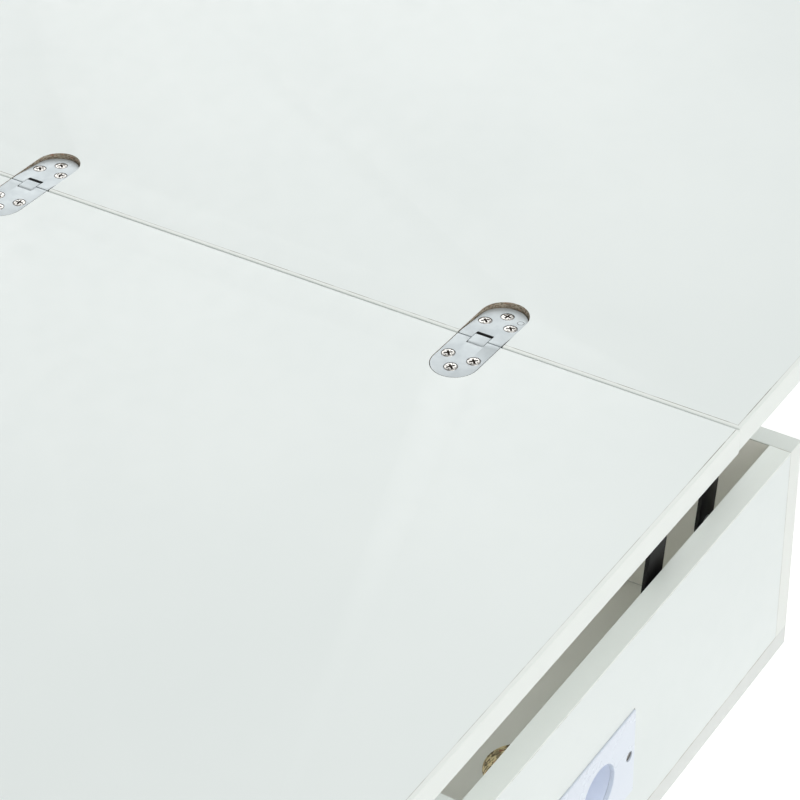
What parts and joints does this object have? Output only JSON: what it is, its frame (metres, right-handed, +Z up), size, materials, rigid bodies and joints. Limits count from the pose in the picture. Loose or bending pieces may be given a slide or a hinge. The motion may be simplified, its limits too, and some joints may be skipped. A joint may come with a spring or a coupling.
{
  "type": "lift top coffee table",
  "caption": "Coffee table whose top lifts on parallel steel arms and unfolds to a large square leaf pair over a storage box with a side socket.",
  "frame": {"origin": "on the floor, under the middle of the seam between the two leaves when the top is raised and unfolded", "axes": "+Z up, Y along the table, -X towards the sitter, where the front leaf unfolds"},
  "size_m": [1, 1.0008, 0.617],
  "materials": {
    "board": "white melamine on chipboard, satin",
    "black_steel": "black powder coat",
    "zinc_steel": "zinc plated",
    "hinge_chrome": "bright nickel plate",
    "socket_plate": "cool white moulded plastic",
    "socket_cup": "cool white moulded plastic",
    "contact_metal": "tinned strip",
    "dark_plastic": "moulded",
    "glide": "moulded",
    "bumper": "soft clear grey"
  },
  "bodies": {
    "root": {"bottom_panel": "board", "front_panel": "board", "back_panel": "board", "left_side_panel": "board", "right_side_panel": "board", "leg_panel_right": "board", "leg_panel_left": "board", "stretcher_panel": "board", "glide_front_right": "glide", "glide_front_left": "glide", "glide_back_right": "glide", "glide_back_left": "glide", "rim_bumper_front_right": "bumper", "rim_bumper_front_left": "bumper", "rim_bumper_back_right": "bumper", "rim_bumper_back_left": "bumper", "mount_plate_right": "black_steel", "mount_plate_left": "black_steel", "front_lower_pivot_right": "zinc_steel", "front_lower_pivot_left": "zinc_steel", "rear_lower_pivot_right": "zinc_steel", "rear_lower_pivot_left": "zinc_steel", "arm_stop_right": "zinc_steel", "arm_stop_left": "zinc_steel", "socket_face_plate": "socket_plate", "socket_cup": "socket_cup", "earth_clip_upper": "contact_metal", "earth_clip_lower": "contact_metal", "face_screw_front": "zinc_steel", "face_screw_back": "zinc_steel", "usb_module": "dark_plastic", "socket_housing": "dark_plastic"},
    "front_arms": {"front_arm_right": "black_steel", "front_arm_left": "black_steel", "cross_tube": "black_steel"},
    "rear_arms": {"rear_arm_right": "black_steel", "rear_arm_left": "black_steel"},
    "top_carrier": {"rear_leaf": "board", "top_bracket_right": "black_steel", "top_bracket_left": "black_steel", "front_upper_pivot_right": "zinc_steel", "front_upper_pivot_left": "zinc_steel", "rear_upper_pivot_right": "zinc_steel", "rear_upper_pivot_left": "zinc_steel", "hinge_rear_plate_right": "hinge_chrome", "hinge_rear_plate_middle": "hinge_chrome", "hinge_rear_plate_left": "hinge_chrome", "hinge_rear_pin_right": "zinc_steel", "hinge_rear_pin_middle": "zinc_steel", "hinge_rear_pin_left": "zinc_steel"},
    "hinge_links": {"hinge_link_right": "hinge_chrome", "hinge_link_middle": "hinge_chrome", "hinge_link_left": "hinge_chrome"},
    "near_leaf": {"front_leaf": "board", "hinge_front_plate_right": "hinge_chrome", "hinge_front_plate_middle": "hinge_chrome", "hinge_front_plate_left": "hinge_chrome", "hinge_front_pin_right": "zinc_steel", "hinge_front_pin_middle": "zinc_steel", "hinge_front_pin_left": "zinc_steel"}
  },
  "joints": [
    {"name": "lift", "type": "hinge", "parent": "root", "child": "front_arms", "pos_m": [0.088, 0, 0.387], "axis": [0, -1, 0], "range_deg": [0, 105.3]},
    {"name": "rear_arm_turn", "type": "hinge", "parent": "root", "child": "rear_arms", "pos_m": [0.179, 0, 0.387], "axis": [0, -1, 0], "range_deg": [0, 105.3]},
    {"name": "top_level", "type": "hinge", "parent": "front_arms", "child": "top_carrier", "pos_m": [0.12109, 0, 0.55884], "axis": [0, -1, 0], "range_deg": [-105.3, 0]},
    {"name": "link_turn", "type": "hinge", "parent": "top_carrier", "child": "hinge_links", "pos_m": [0.0036, 0, 0.6154], "axis": [0, 1, 0], "range_deg": [0, 90]},
    {"name": "leaf_turn", "type": "hinge", "parent": "hinge_links", "child": "near_leaf", "pos_m": [-0.0036, 0, 0.6154], "axis": [0, 1, 0], "range_deg": [0, 90]}
  ],
  "couplings": [
    {"joint": "rear_arm_turn", "follows": "lift", "ratio": 1},
    {"joint": "top_level", "follows": "lift", "ratio": -1}
  ]
}
